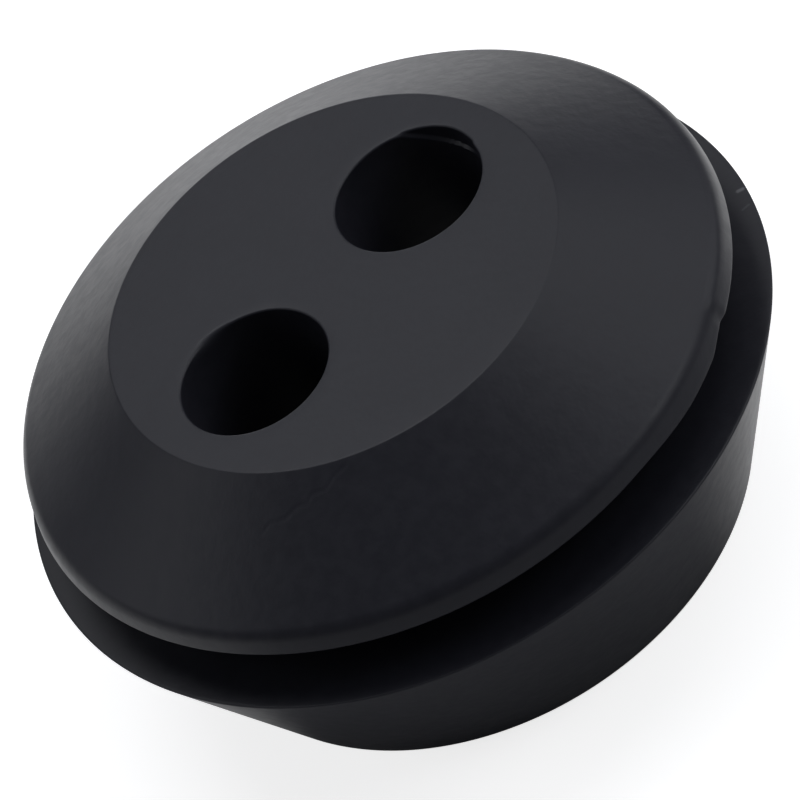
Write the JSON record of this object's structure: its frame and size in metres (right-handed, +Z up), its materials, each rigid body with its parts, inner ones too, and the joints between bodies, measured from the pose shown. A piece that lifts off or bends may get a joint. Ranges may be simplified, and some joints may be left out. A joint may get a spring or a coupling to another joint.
{
  "type": "rubber grommet",
  "caption": "Round rubber grommet with a coned top, a panel groove round its waist, a tapered lower flange and bores for small hoses.",
  "frame": {"origin": "centre of the flat base, on the surface that the grommet stands on", "axes": "+Z up along the grommet's own axis, from the base to the top face; the hose bores lie on the X axis, one each side of the middle"},
  "size_m": [0.024, 0.024, 0.0113],
  "materials": {
    "moulded_rubber": "dull black moulded rubber with a fine grain"
  },
  "bodies": {
    "root": {"grommet": "moulded_rubber"}
  },
  "joints": []
}
